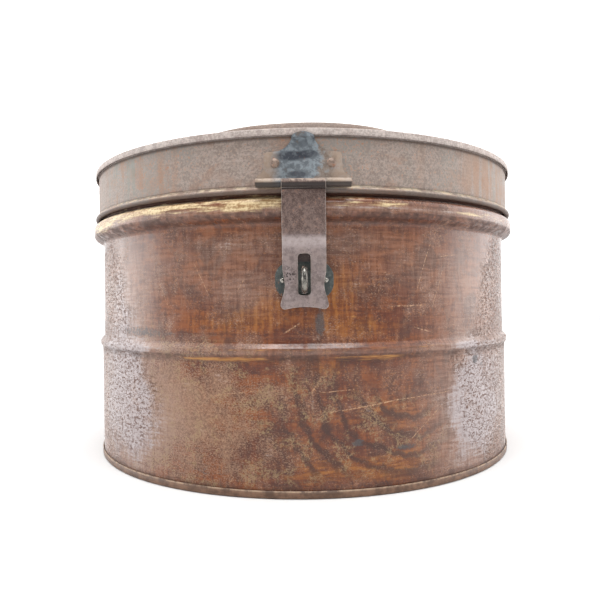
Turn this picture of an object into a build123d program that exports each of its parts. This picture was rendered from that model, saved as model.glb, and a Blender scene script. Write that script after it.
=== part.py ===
from build123d import *
import os
from math import asin, atan2, cos, degrees, pi, sin, sqrt, tan

os.makedirs("parts", exist_ok=True)

# Round hat box in thin sheet metal. Millimetres, +Z up, front towards -Y.
# Origin: centre of the base on the plane the box stands on.

# Sheet and wire
sheet_t = 0.6
edge_wire_r = 1.12
wire_fit = 0.08
wire_joint_deg = 35.0
fold_in_r = 0.2

# Box wall: outer radius of the lower wall, and what steps in or out from it
wall_r = 166.0
wall_up_step = 1.5
neck_out = 1.0
neck_h = 22.4
rib_out = 1.5
rib_drop = 83.1
rib_h = 8.6
rib_low_slope = 2.2
rib_top_slope = 3.2
bead_out = 7.0
bead_z = 169.6
bead_h = 15.2
bead_low_slope = 3.2
bead_top_slope = 2.6
bead_round = 4.2
cove_r = 3.5
bend_r = 1.6
lap_deg = 1.6
lap_step_deg = 0.25
lap_low_gap = 0.4
lap_top_gap = 2.6

# Base
seam_gap = 0.4
seam_h = 4.6
base_gap = 0.6
base_recess = 3.0

# Lid
lid_fit = 1.3
skirt_step = 0.4
skirt_gap_z = 1.2
skirt_h = 37.6
skirt_bend_r = 0.9
rim_out = 2.2
rim_band_h = 4.4
rim_trough = 2.2
crown_edge_r = 102.5
crown_edge_run = 20.0
crown_round = 150.0
crown_rise = 24.5
crown_top_rise = 29.0
crown_side_run = 7.5
crown_bend_r = 5.5
shoulder_rise = 5.0

# Knuckles, shared by the hasp and the rear hinge
knuckle_wall = 1.02
knuckle_gap = 0.55
lug_w = 25.4
lug_side_gap = 0.25
outer_lug_w = 14.4
pin_r = 1.45
pin_fit = 0.08
pin_past = 0.6
axis_up = 1.3
leaf_t = 0.9

# Hasp strap
strap_t = 1.0
strap_l = 72.5
strap_bend_drop = 8.5
strap_end_gap = 3.5
strap_bead_gap = 0.7
strap_over_up = 5.4
strap_round = 8.0
strap_waist_in = 1.35
strap_flare_out = 1.1
strap_corner = 2.4
slot_round = 2.0

# Pointed plate, used for the hasp plate and both rear hinge leaves
plate_side_in = 0.35
plate_waist_in = 4.0
plate_foot_up = 5.4
plate_top_gap = 2.4
plate_rivet_share = 0.33
plate_rivet_clear = 1.05
rivet_head_r = 2.85
rivet_head_h = 1.3
rivet_shank_r = 1.4
rivet_tail_t = 0.4
rivet_tail_gap = 0.02

# Staple
staple_w = 34.4
staple_h = 21.6
staple_round = 9.0
staple_rise = 17.1
staple_wire_r = 1.75
staple_loop_h = 16.6
staple_centre_out = 7.8
staple_tail = 1.3
staple_rivet_in = 4.55
slot_side = 1.9
slot_under = 0.5
slot_over = 6.8
small_head_r = 1.6
small_head_h = 0.8
small_shank_r = 0.9

# Rear leaf on the box
rear_leaf_drop = 8.0
rear_leaf_round = 5.0
rear_foot_round = 4.0

# Handle
bail_wire_r = 2.0
bail_half_w = 44.5
bail_drop = 44.0
bail_bend_r = 3.4
bail_past = 1.2
eye_side_gap = 2.0
eye_wall = 2.0
lug_t = 3.0
eye_plate_t = 1.0
eye_plate_w = 12.0
eye_plate_end = 4.5
eye_plate_round = 3.0
eye_rivet_gap = 3.5
eye_head_r = 2.3
eye_head_h = 1.0
grip_r = 4.5
grip_lid_gap = 0.5
grip_end_gap = 11.5
grip_round = 1.2

# Radii that follow
roll_d = 2 * (edge_wire_r + sheet_t + wire_fit)
roll_bend_r = roll_d / 2 - wire_fit
wall_up_r = wall_r - wall_up_step
rib_r = wall_r + rib_out
bead_r = wall_up_r + bead_out
neck_r = wall_up_r + neck_out
seam_r = wall_r + seam_gap + sheet_t
roll_in_r = neck_r + lid_fit
roll_out_r = roll_in_r + roll_d
roll_c_r = roll_in_r + roll_d / 2
skirt_in_r = roll_in_r + skirt_step
skirt_r = skirt_in_r + sheet_t
rim_r = skirt_r + rim_out
knuckle_r = pin_r + pin_fit + knuckle_wall
axis_r = roll_out_r + knuckle_gap + knuckle_r
fold_r = sheet_t + fold_in_r

# Heights that follow
rib_low_z = bead_z - rib_drop - rib_h / 2
rib_top_z = rib_low_z + rib_h
bead_low_z = bead_z - bead_h / 2
bead_top_z = bead_z + bead_h / 2
neck_top_z = bead_z + neck_h
roll_low_z = bead_top_z + skirt_gap_z
roll_top_z = roll_low_z + roll_d
roll_c_z = roll_low_z + roll_d / 2
rim_z = roll_low_z + skirt_h
band_low_z = rim_z - rim_band_h
crown_z = rim_z + crown_top_rise
crown_edge_z = rim_z + crown_rise
axis_z = roll_top_z + axis_up
strap_bend_z = bead_low_z - strap_bend_drop
strap_end_z = axis_z - strap_l
staple_z = strap_end_z + staple_rise
slot_low_z = staple_z - staple_loop_h / 2 - slot_under
slot_top_z = staple_z + staple_loop_h / 2 + slot_over

# Widths and places that follow
slot_w = 2 * (staple_wire_r + slot_side)
knuckle_w = lug_w + 2 * (lug_side_gap + outer_lug_w)
plate_half_w = knuckle_w / 2 - plate_side_in
plate_waist = plate_half_w - plate_waist_in
plate_foot_z = roll_top_z + plate_foot_up
plate_h = rim_z - plate_top_gap - plate_foot_z
plate_rivet_z = plate_foot_z + plate_rivet_share * plate_h
plate_rivet_gap = lug_w + 2 * (rivet_head_r + plate_rivet_clear)
rear_foot_z = bead_low_z - rear_leaf_drop
rear_rivet_z = rear_foot_z - plate_rivet_share * plate_h
staple_rivet_gap = staple_w - 2 * staple_rivet_in
lug_x = bail_half_w + bail_wire_r + eye_side_gap + lug_t / 2
lug_r = bail_wire_r + eye_wall
handle_z = crown_z + grip_r + grip_lid_gap
grip_l = 2 * (bail_half_w - grip_end_gap)
eye_rivet_y = lug_r + eye_rivet_gap
eye_plate_l = 2 * (eye_rivet_y + eye_plate_end)


def rounded(points):
    """Edges along (x, z, corner radius) points, each corner replaced by a tangent arc."""
    edges = []
    start = Vector(points[0][0], 0, points[0][1])
    for before, here, after in zip(points, points[1:], points[2:]):
        corner = Vector(here[0], 0, here[1])
        back = (Vector(before[0], 0, before[1]) - corner).normalized()
        ahead = (Vector(after[0], 0, after[1]) - corner).normalized()
        half = back.get_angle(ahead) * pi / 360
        reach = here[2] / tan(half)
        arc_start = corner + back * reach
        arc_end = corner + ahead * reach
        middle = (back + ahead).normalized()
        arc_mid = corner + middle * (here[2] / sin(half) - here[2])
        if (arc_start - start).length > 1e-4:
            edges.append(Edge.make_line(start, arc_start))
        edges.append(Edge.make_three_point_arc(arc_start, arc_mid, arc_end))
        start = arc_end
    edges.append(Edge.make_line(start, Vector(points[-1][0], 0, points[-1][1])))
    return edges


def shifted(points, d):
    """The same path moved d to its right-hand side, with corner radii to match."""
    moved = []
    for i, here in enumerate(points):
        headings = []
        if i > 0:
            headings.append(atan2(here[1] - points[i - 1][1], here[0] - points[i - 1][0]))
        if i < len(points) - 1:
            headings.append(atan2(points[i + 1][1] - here[1], points[i + 1][0] - here[0]))
        turn = (headings[-1] - headings[0] + pi) % (2 * pi) - pi
        normal = headings[0] + turn / 2 - pi / 2
        reach = d / cos(turn / 2)
        radius = 0
        if len(here) > 2:
            radius = here[2] + (d if turn > 0 else -d)
        moved.append((here[0] + reach * cos(normal), here[1] + reach * sin(normal), radius))
    return moved


def sheet(points, d):
    """A strip of sheet d thick beside a path; a negative d puts it on the left-hand side."""
    path = [(p[0], p[1], p[2] if len(p) > 2 else 0) for p in points]
    near = rounded(path)
    far = rounded(shifted(points, d))
    caps = [
        Edge.make_line(near[0] @ 0, far[0] @ 0),
        Edge.make_line(near[-1] @ 1, far[-1] @ 1),
    ]
    return make_face(near + far + caps)


def swept(face, start_deg, arc_deg):
    """A radial profile turned about the Z axis from one compass angle."""
    return Rot(0, 0, start_deg) * revolve(face, Axis.Z, arc_deg)


def ring(r_in, r_out, z_low, z_high):
    """A plain tube about the Z axis."""
    height = z_high - z_low
    tube = Cylinder(r_out, height, align=(Align.CENTER, Align.CENTER, Align.MIN))
    tube -= Cylinder(r_in, height, align=(Align.CENTER, Align.CENTER, Align.MIN))
    return Pos(0, 0, z_low) * tube


def wire_ring(r, z):
    """A closed ring of edge wire, its joint turned away from the side laps."""
    return Pos(0, 0, z) * Rot(0, 0, wire_joint_deg) * Torus(r, edge_wire_r)


def across(face, width):
    """A radial profile extruded to both sides of the radial plane."""
    return extrude(face, width / 2, dir=(0, 1, 0), both=True)


def bar(x, z, r, y_low, y_high):
    """A round bar lying along the tangent."""
    length = y_high - y_low
    return Pos(x, (y_low + y_high) / 2, z) * Rot(90, 0, 0) * Cylinder(r, length)


def rib_path():
    """The rib, from the lower wall out and back to the upper wall."""
    return [
        (wall_r, rib_low_z, bend_r),
        (rib_r, rib_low_z + rib_low_slope, bend_r),
        (rib_r, rib_top_z - rib_top_slope, bend_r),
        (wall_up_r, rib_top_z, bend_r),
    ]


def wall_path():
    """Outer face of the wall from the foot, over the rib and the bead, to the rolled neck."""
    roll_far_r = neck_r - roll_d
    return [
        (wall_r, sheet_t),
        *rib_path(),
        (wall_up_r, bead_low_z, cove_r),
        (bead_r, bead_low_z + bead_low_slope, bead_round),
        (bead_r, bead_top_z - bead_top_slope, bead_round),
        (neck_r, bead_top_z, bend_r),
        (neck_r, neck_top_z, roll_bend_r),
        (roll_far_r, neck_top_z, roll_bend_r),
        (roll_far_r, neck_top_z - roll_d, roll_bend_r),
        (neck_r - roll_d / 2 + wire_fit, neck_top_z - roll_d),
    ]


def lap_path():
    """The part of the wall that carries the lapped side seams."""
    return [(wall_r, seam_h + lap_low_gap), *rib_path(), (wall_up_r, bead_low_z - lap_top_gap)]


def base_path():
    """Under face of the base: the recessed floor, then round the foot of the wall."""
    inner_r = wall_r - 2 * sheet_t - base_gap
    return [
        (0, base_recess),
        (inner_r, base_recess, fold_r),
        (inner_r, 0, fold_r),
        (seam_r, 0, fold_r),
        (seam_r, seam_h),
    ]


def skirt_path():
    """Inner face of the skirt from the curled edge up to the flange in the seam."""
    curl_close = 0.3
    curl_rise = 0.5
    step_rise = 2.0
    flange_gap = 0.4
    return [
        (roll_c_r + curl_close, roll_top_z),
        (roll_out_r, roll_top_z, roll_bend_r),
        (roll_out_r, roll_low_z, roll_bend_r),
        (roll_in_r, roll_low_z, roll_bend_r),
        (roll_in_r, roll_top_z + curl_rise, skirt_bend_r),
        (skirt_in_r, roll_top_z + step_rise, skirt_bend_r),
        (skirt_in_r, rim_z - sheet_t, skirt_bend_r),
        (rim_r - sheet_t - flange_gap, rim_z - sheet_t),
    ]


def lid_path():
    """Upper face of the lid from the centre, over the crown and shoulder, to the seam band."""
    seam_slack = 0.1
    seam_in_r = skirt_in_r - sheet_t - seam_slack
    return [
        (0, crown_z),
        (crown_edge_r - crown_edge_run, crown_z, crown_round),
        (crown_edge_r, crown_edge_z, crown_bend_r),
        (crown_edge_r + crown_side_run, rim_z + shoulder_rise, crown_bend_r),
        (seam_in_r, rim_z - rim_trough, 1.0),
        (seam_in_r, rim_z, sheet_t + seam_slack),
        (rim_r, rim_z, fold_r),
        (rim_r, band_low_z),
    ]


def rivet(head_r, head_h, shank_r, grip):
    """A domed rivet along +X: head outside x = 0, shank and flattened tail inside."""
    dome_r = (head_r**2 + head_h**2) / (2 * head_h)
    half = asin(head_r / dome_r) / 2
    dome_mid = (head_h - dome_r + dome_r * cos(half), 0, dome_r * sin(half))
    tail_r = shank_r * 1.4
    tail_x = -grip - rivet_tail_gap
    end_x = tail_x - rivet_tail_t
    dome = Edge.make_three_point_arc((head_h, 0, 0), dome_mid, (0, 0, head_r))
    corners = [
        (0, 0, head_r),
        (0, 0, shank_r),
        (tail_x, 0, shank_r),
        (tail_x, 0, tail_r),
        (end_x, 0, tail_r),
        (end_x, 0, 0),
        (head_h, 0, 0),
    ]
    sides = [Edge.make_line(a, b) for a, b in zip(corners, corners[1:])]
    return revolve(make_face([dome] + sides), Axis.X, 360)


def on_wall(piece, r, gap, z):
    """Two copies of a radial piece on a cylinder, a gap apart along the tangent."""
    turn = degrees(asin(gap / 2 / r))
    left = Rot(0, 0, -turn) * Pos(r, 0, z) * piece
    right = Rot(0, 0, turn) * Pos(r, 0, z) * piece
    return left, right


def shank_holes(r, gap, z, shank_r):
    """Round holes for two rivets, cut through everything near the cylinder."""
    depth = 8
    return on_wall(Rot(0, 90, 0) * Cylinder(shank_r, depth), r, gap, z)


def ogee_outline():
    """Face of the pointed plate in the tangent plane, from the knuckle foot to the peak.

    Heights are shares of the plate's height; widths are measured in from its sides.
    """
    half = plate_half_w
    waist = plate_waist
    peak_half = 6.4
    foot, step, swell, neck, shoulder, eave, brow, crest, peak = [
        plate_foot_z + share * plate_h for share in (0, 0.06, 0.145, 0.29, 0.505, 0.575, 0.71, 0.91, 1)
    ]
    right = [
        Edge.make_line((0, half, foot), (0, half, step)),
        Edge.make_three_point_arc((0, half, step), (0, waist + 0.9, swell), (0, waist, neck)),
        Edge.make_line((0, waist, neck), (0, waist - 0.4, shoulder)),
        Edge.make_three_point_arc(
            (0, waist - 0.4, shoulder), (0, waist - 1.0, eave - 0.4), (0, waist - 2.4, eave)
        ),
        Edge.make_line((0, waist - 2.4, eave), (0, waist - 8.5, eave + 0.5)),
        Edge.make_three_point_arc(
            (0, waist - 8.5, eave + 0.5), (0, waist - 13.8, brow), (0, peak_half, crest)
        ),
    ]
    left = [edge.mirror(Plane.XZ) for edge in right]
    top = Edge.make_three_point_arc((0, peak_half, crest), (0, 0, peak), (0, -peak_half, crest))
    bottom = Edge.make_line((0, half, foot), (0, -half, foot))
    return make_face(right + left + [top, bottom])


def band_section(z, curved):
    """Cross-section of the leaf foot: on the skirt it is curved, at the knuckle it is straight."""
    half = plate_half_w
    near_x = axis_r - knuckle_r
    bow = 0.02
    faces = []
    for x in (0, leaf_t):
        r = skirt_r + x
        side_x = sqrt(r * r - half * half) if curved else near_x + x
        middle_x = r if curved else near_x + x + bow
        faces.append((side_x, middle_x))
    edges = [
        Edge.make_three_point_arc((side, -half, z), (middle, 0, z), (side, half, z))
        for side, middle in faces
    ]
    for y in (-half, half):
        edges.append(Edge.make_line((faces[0][0], y, z), (faces[1][0], y, z)))
    return make_face(edges)


def ogee_leaf():
    """The pointed leaf on the lid with its two outer knuckle lugs, facing +X."""
    reach = 200
    under_band = 0.3
    step_h = 0.9
    shell = ring(skirt_r, skirt_r + leaf_t, plate_foot_z, band_low_z - under_band)
    shell += ring(skirt_r, rim_r + leaf_t, band_low_z - under_band - step_h, band_low_z - under_band)
    shell += ring(rim_r, rim_r + leaf_t, band_low_z - under_band - 0.1, rim_z)
    leaf = shell & extrude(ogee_outline(), reach, dir=(1, 0, 0))
    leaf += loft([band_section(plate_foot_z + 0.01, True), band_section(axis_z, False)], ruled=True)
    leaf += bar(axis_r, axis_z, knuckle_r, -knuckle_w / 2, knuckle_w / 2)
    clear_w = lug_w + 2 * lug_side_gap
    clear_h = 2 * (plate_foot_z - 0.5 - axis_z)
    leaf -= Pos(axis_r, 0, axis_z) * Box(14, clear_w, clear_h)
    leaf -= bar(axis_r, axis_z, pin_r, -knuckle_w, knuckle_w)
    for hole in shank_holes(skirt_r + leaf_t, plate_rivet_gap, plate_rivet_z, rivet_shank_r):
        leaf -= hole
    return leaf


def hinge_pin():
    """Knuckle pin, a little longer than the knuckle."""
    half = knuckle_w / 2 + pin_past
    return bar(axis_r, axis_z, pin_r, -half, half)


def strap_outline():
    """Face of the hasp strap in the tangent plane, waisted and flared, with a notched end."""
    half = lug_w / 2
    waist = half - strap_waist_in
    flare = half + strap_flare_out
    top_z = axis_z + 4
    end_z = strap_end_z
    side = [
        Vector(0, half, end_z + 27.2),
        Vector(0, half - 0.45, end_z + 20.2),
        Vector(0, waist, end_z + 13.9),
        Vector(0, waist + 0.95, end_z + 9.0),
        Vector(0, flare, end_z + 3.8),
    ]
    right = [
        Edge.make_line((0, half, top_z), side[0]),
        Edge.make_spline(side, tangents=[Vector(0, 0, -1), Vector(0, 0.2, -1)]),
        Edge.make_three_point_arc(side[-1], (0, flare - 0.5, end_z + 1), (0, flare - strap_corner, end_z)),
    ]
    left = [edge.mirror(Plane.XZ) for edge in right]
    top = Edge.make_line((0, half, top_z), (0, -half, top_z))
    corner_y = flare - strap_corner
    notch = Edge.make_three_point_arc((0, corner_y, end_z), (0, 0, end_z + 1.4), (0, -corner_y, end_z))
    return make_face(right + left + [top, notch])


def over_bead(end_points):
    """Inner face of a strip from the knuckle down over the bead, then through the given points."""
    over_x = bead_r + strap_bead_gap
    start = (axis_r - knuckle_r, axis_z)
    return [start, (over_x, bead_z + strap_over_up, strap_round), *end_points]


def middle_lug(strip):
    """A strip with its middle knuckle lug added and bored to turn on the pin."""
    strip += bar(axis_r, axis_z, knuckle_r, -lug_w / 2, lug_w / 2)
    return strip - bar(axis_r, axis_z, pin_r + pin_fit, -knuckle_w, knuckle_w)


def hasp_strap():
    """The slotted strap with its middle lug, hanging from the hasp pin, facing +X."""
    reach = 200
    path = over_bead([
        (bead_r + strap_bead_gap, strap_bend_z, strap_round),
        (wall_up_r + strap_end_gap, strap_end_z - 0.5),
    ])
    strap = across(sheet(path, -strap_t), 2 * lug_w)
    strap &= extrude(strap_outline(), reach, dir=(1, 0, 0))
    slot = Plane.YZ * RectangleRounded(slot_w, slot_top_z - slot_low_z, slot_round)
    strap -= Pos(0, 0, (slot_low_z + slot_top_z) / 2) * extrude(slot, reach)
    return middle_lug(strap)


def rear_leaf():
    """The rear leaf on the box: middle lug, strip over the bead, riveted plate under it."""
    reach = 200
    path = over_bead([
        (bead_r + strap_bead_gap, bead_low_z + 1.5, rear_leaf_round),
        (wall_up_r, rear_foot_z, rear_foot_round),
        (wall_up_r, rear_foot_z - 7.0),
    ])
    leaf = across(sheet(path, -leaf_t), lug_w)
    shell = ring(wall_up_r, wall_up_r + leaf_t, rear_foot_z - plate_h - 1, rear_foot_z + 1)
    upside_down = Pos(0, 0, rear_foot_z) * Rot(180, 0, 0) * Pos(0, 0, -plate_foot_z)
    leaf += shell & extrude(upside_down * ogee_outline(), reach, dir=(1, 0, 0))
    leaf = middle_lug(leaf)
    for hole in shank_holes(wall_up_r + leaf_t, plate_rivet_gap, rear_rivet_z, rivet_shank_r):
        leaf -= hole
    return leaf


def staple_plate():
    """Oblong round-ended plate bent to the wall, with holes for the loop legs and the rivets."""
    reach = 200
    shell = ring(wall_up_r, wall_up_r + leaf_t, staple_z - staple_h, staple_z + staple_h)
    face = Plane.YZ * RectangleRounded(staple_w, staple_h, staple_round)
    plate = shell & (Pos(0, 0, staple_z) * extrude(face, reach))
    for hole in shank_holes(wall_up_r + leaf_t, staple_rivet_gap, staple_z, small_shank_r):
        plate -= hole
    return plate - staple_loop()


def staple_loop():
    """Round wire bent to a D, with both legs clenched flat inside the wall."""
    leg = staple_loop_h / 2 - staple_wire_r
    out_x = wall_up_r + staple_centre_out
    in_x = wall_up_r - sheet_t - staple_tail
    size = 2 * staple_loop_h
    loop = Pos(out_x, 0, staple_z) * Rot(90, 0, 0) * Torus(leg, staple_wire_r)
    loop &= Pos(out_x + size / 2, 0, staple_z) * Box(size, size, size)
    for side in (-1, 1):
        length = out_x - in_x
        rod = Rot(0, 90, 0) * Cylinder(staple_wire_r, length)
        loop += Pos(in_x + length / 2, 0, staple_z + side * leg) * rod
    return loop


def lid_bail():
    """Wire bail lying back on the crown, its turned-out ends in the two lugs."""
    end_x = lug_x + lug_t / 2 + bail_past
    points = [
        (-end_x, 0, handle_z),
        (-bail_half_w, 0, handle_z),
        (-bail_half_w, bail_drop, handle_z),
        (bail_half_w, bail_drop, handle_z),
        (bail_half_w, 0, handle_z),
        (end_x, 0, handle_z),
    ]
    path = FilletPolyline(*points, radius=bail_bend_r)
    section = Plane(path @ 0, z_dir=path % 0) * Circle(bail_wire_r)
    return sweep(section, path)


def along_x(x, y, z, r, length):
    """A round bar lying along X, centred on a point."""
    return Pos(x, y, z) * Rot(0, 90, 0) * Cylinder(r, length)


def handle_eye(side):
    """Foot plate with an upright bored lug for one end of the bail."""
    x = side * lug_x
    foot = Pos(x, 0, crown_z + eye_plate_t / 2) * Box(eye_plate_w, eye_plate_l, eye_plate_t)
    foot = fillet(foot.edges().filter_by(Axis.Z), eye_plate_round)
    neck_h = handle_z - crown_z - eye_plate_t / 2
    neck = Pos(x, 0, handle_z - neck_h / 2) * Box(lug_t, 2 * lug_r, neck_h)
    eye = foot + neck + along_x(x, 0, handle_z, lug_r, lug_t)
    eye -= along_x(x, 0, handle_z, bail_wire_r + pin_fit, 2 * eye_plate_w)
    for spot in eye_spots(side):
        eye -= spot * Cylinder(rivet_shank_r, 8)
    return eye


def eye_spots(side):
    """Places of the two rivets of one lug, on the crown."""
    return [Pos(side * lug_x, along * eye_rivet_y, crown_z) for along in (-1, 1)]


def eye_rivets():
    """Four rivets through the two foot plates and the crown."""
    one = rivet(eye_head_r, eye_head_h, rivet_shank_r, eye_plate_t + sheet_t)
    upright = Pos(0, 0, eye_plate_t) * Rot(0, -90, 0) * one
    return [spot * upright for side in (-1, 1) for spot in eye_spots(side)]


def handle_grip():
    """Rolled tin grip with softened ends, threaded on the bail."""
    grip = along_x(0, bail_drop, handle_z, grip_r, grip_l)
    grip = fillet(grip.edges(), grip_round)
    return grip - along_x(0, bail_drop, handle_z, bail_wire_r, 2 * grip_l)


front = Rot(0, 0, -90)
rear = Rot(0, 0, 90)

# Wall halves; the front half laps over the rear half at both sides.
wall_face = sheet(wall_path(), -sheet_t)
lap_face = sheet(lap_path(), sheet_t)
panel_front = swept(wall_face, 180, 180)
panel_front += swept(lap_face, -lap_step_deg, lap_deg + lap_step_deg)
panel_front += swept(lap_face, 180 - lap_deg, lap_deg + lap_step_deg)
panel_rear = swept(wall_face, 0, 180)
loop = front * staple_loop()
panel_front -= loop
for hole in shank_holes(wall_up_r + leaf_t, staple_rivet_gap, staple_z, small_shank_r):
    panel_front -= front * hole
for hole in shank_holes(wall_up_r + leaf_t, plate_rivet_gap, rear_rivet_z, rivet_shank_r):
    panel_rear -= rear * hole

# Lid
top = swept(sheet(lid_path(), sheet_t), 0, 360)
for spot in eye_spots(-1) + eye_spots(1):
    top -= spot * Cylinder(rivet_shank_r, 8)
skirt_face = sheet(skirt_path(), sheet_t)
skirt_rear = swept(skirt_face, 0, 180)
for hole in shank_holes(skirt_r + leaf_t, plate_rivet_gap, plate_rivet_z, rivet_shank_r):
    skirt_rear -= rear * hole
skirt_front = Rot(0, 0, 180) * skirt_rear

leaf = ogee_leaf()
plate_rivet = rivet(rivet_head_r, rivet_head_h, rivet_shank_r, leaf_t + sheet_t)
small_rivet = rivet(small_head_r, small_head_h, small_shank_r, leaf_t + sheet_t)
lid_rivets = on_wall(plate_rivet, skirt_r + leaf_t, plate_rivet_gap, plate_rivet_z)
body_rivets = on_wall(plate_rivet, wall_up_r + leaf_t, plate_rivet_gap, rear_rivet_z)
staple_rivets = on_wall(small_rivet, wall_up_r + leaf_t, staple_rivet_gap, staple_z)

nodes = {
    "body_panel_front": panel_front,
    "body_panel_rear": panel_rear,
    "base_pan": swept(sheet(base_path(), -sheet_t), 0, 360),
    "neck_wire": wire_ring(neck_r - roll_d / 2, neck_top_z - roll_d / 2),
    "staple_plate": front * staple_plate(),
    "staple_loop": loop,
    "staple_rivets": Compound(children=[front * r for r in staple_rivets]),
    "hinge_leaf_body": rear * rear_leaf(),
    "body_hinge_rivets": Compound(children=[rear * r for r in body_rivets]),
    "lid_top": top,
    "lid_skirt_front": skirt_front,
    "lid_skirt_rear": skirt_rear,
    "lid_rim_wire": wire_ring(roll_c_r, roll_c_z),
    "hasp_plate": front * leaf,
    "hasp_plate_rivets": Compound(children=[front * r for r in lid_rivets]),
    "hasp_pin": front * hinge_pin(),
    "hinge_leaf_lid": rear * leaf,
    "lid_hinge_rivets": Compound(children=[rear * r for r in lid_rivets]),
    "rear_hinge_pin": rear * hinge_pin(),
    "handle_eye_left": handle_eye(-1),
    "handle_eye_right": handle_eye(1),
    "handle_rivets": Compound(children=eye_rivets()),
    "hasp_strap": front * hasp_strap(),
    "carry_handle": lid_bail(),
    "handle_grip": handle_grip(),
}
for name, solid in nodes.items():
    export_step(solid, f"parts/{name}.step")
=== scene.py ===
import math

import bmesh
import bpy
import numpy as np
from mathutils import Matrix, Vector


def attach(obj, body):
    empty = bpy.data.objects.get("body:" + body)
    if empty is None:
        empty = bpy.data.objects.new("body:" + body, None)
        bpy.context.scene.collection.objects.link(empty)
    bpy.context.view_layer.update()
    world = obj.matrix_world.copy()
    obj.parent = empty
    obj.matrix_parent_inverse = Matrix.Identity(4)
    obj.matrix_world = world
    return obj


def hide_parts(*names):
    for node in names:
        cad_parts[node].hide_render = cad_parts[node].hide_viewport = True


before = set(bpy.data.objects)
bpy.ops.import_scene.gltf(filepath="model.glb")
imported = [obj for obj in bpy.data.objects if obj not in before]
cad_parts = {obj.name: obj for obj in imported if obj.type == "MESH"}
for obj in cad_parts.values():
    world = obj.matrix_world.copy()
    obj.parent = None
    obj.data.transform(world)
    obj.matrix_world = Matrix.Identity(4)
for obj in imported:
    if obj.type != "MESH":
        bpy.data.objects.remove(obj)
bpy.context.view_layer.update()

# ---------------------------------------------------------------- sizes, metres
MM = 0.001
SHEET = 0.6 * MM
WRAP_R = 165 * MM  # radius on which the UV map is true to size
HALF_STEPS = 220  # divisions of half a turn
RING_STEPS = 360  # divisions of a whole turn
CORNER_TURN = math.radians(14)  # most that a rounded corner turns between two points
FLAT_TURN = math.radians(2)  # faces that turn less than this are one face
SHARP_TURN = math.radians(40)  # an edge that turns more than this is eased
STRAP_EASE = 0.22 * MM
PLATE_EASE = 0.18 * MM
EYE_EASE = 0.2 * MM
FLOOR_DROP = 0.2 * MM  # the floor lies this far under the foot, so that the two never share a plane
MERGE = 1e-6  # points closer than this are one


# ---------------------------------------------------------------- sheet surfaces
def rounded_path(corners, step):
    """Points along a (radius, height, corner radius) path, in millimetres, returned in metres.

    Each corner is a circle arc tangent to both sides: centre on the bisector at r / sin(half angle).
    Straight runs are divided evenly so that no piece is longer than step.
    """
    points = [np.array(corners[0][:2], float)]
    for before, here, after in zip(corners, corners[1:], corners[2:]):
        corner = np.array(here[:2], float)
        back = np.array(before[:2], float) - corner
        ahead = np.array(after[:2], float) - corner
        back /= np.linalg.norm(back)
        ahead /= np.linalg.norm(ahead)
        half = math.acos(np.clip(back @ ahead, -1, 1)) / 2
        reach = here[2] / math.tan(half)
        centre = corner + (back + ahead) / np.linalg.norm(back + ahead) * here[2] / math.sin(half)
        first = corner + back * reach - centre
        last = corner + ahead * reach - centre
        turn = math.atan2(first[0] * last[1] - first[1] * last[0], first @ last)
        count = max(3, int(abs(turn) / CORNER_TURN) + 1)
        run_points(points, centre + first, step)
        for angle in np.linspace(0, turn, count)[1:]:
            c, s = math.cos(angle), math.sin(angle)
            points.append(centre + np.array([c * first[0] - s * first[1], s * first[0] + c * first[1]]))
    run_points(points, np.array(corners[-1][:2], float), step)
    return np.array(points) * MM


def run_points(points, target, step):
    """Adds evenly spaced points on the straight run from the last point to target."""
    gap = target - points[-1]
    length = np.linalg.norm(gap)
    if length < MERGE:
        return
    count = max(1, int(math.ceil(length / step)))
    start = points[-1]
    for i in range(1, count + 1):
        points.append(start + gap * i / count)


def offset_path(path, d):
    """The path moved d to its right-hand side, each point along the mean normal of its two runs."""
    heading = np.gradient(path, axis=0)
    heading /= np.linalg.norm(heading, axis=1, keepdims=True)
    return path + d * np.stack([heading[:, 1], -heading[:, 0]], axis=1)


def patches(angle, height, spots):
    """Sum of soft elliptical spots on the wall.

    Each spot is (degrees round from the front, height mm, half-width degrees, half-height mm, amount)
    and adds amount * exp(-(da / half-width)^2 - (dz / half-height)^2).
    """
    total = np.zeros_like(angle)
    for at, z, wide, tall, amount in spots:
        gap = (np.degrees(angle) - at + 180) % 360 - 180
        total += amount * np.exp(-((gap / wide) ** 2) - ((height / MM - z) / tall) ** 2)
    return total


def waviness(angle, height, seed, amount):
    """Slow in-and-out of hand-worked sheet: a sum of cosines round the box and up it, fixed by seed."""
    rng = np.random.default_rng(seed)
    total = np.zeros_like(angle)
    for order in (2, 3, 5, 8, 13):
        phase, lean = rng.uniform(0, 2 * np.pi, 2)
        total += np.cos(order * angle + phase + 9 * np.sin(lean) * height) / order**0.8
    return amount * total / 2


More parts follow.
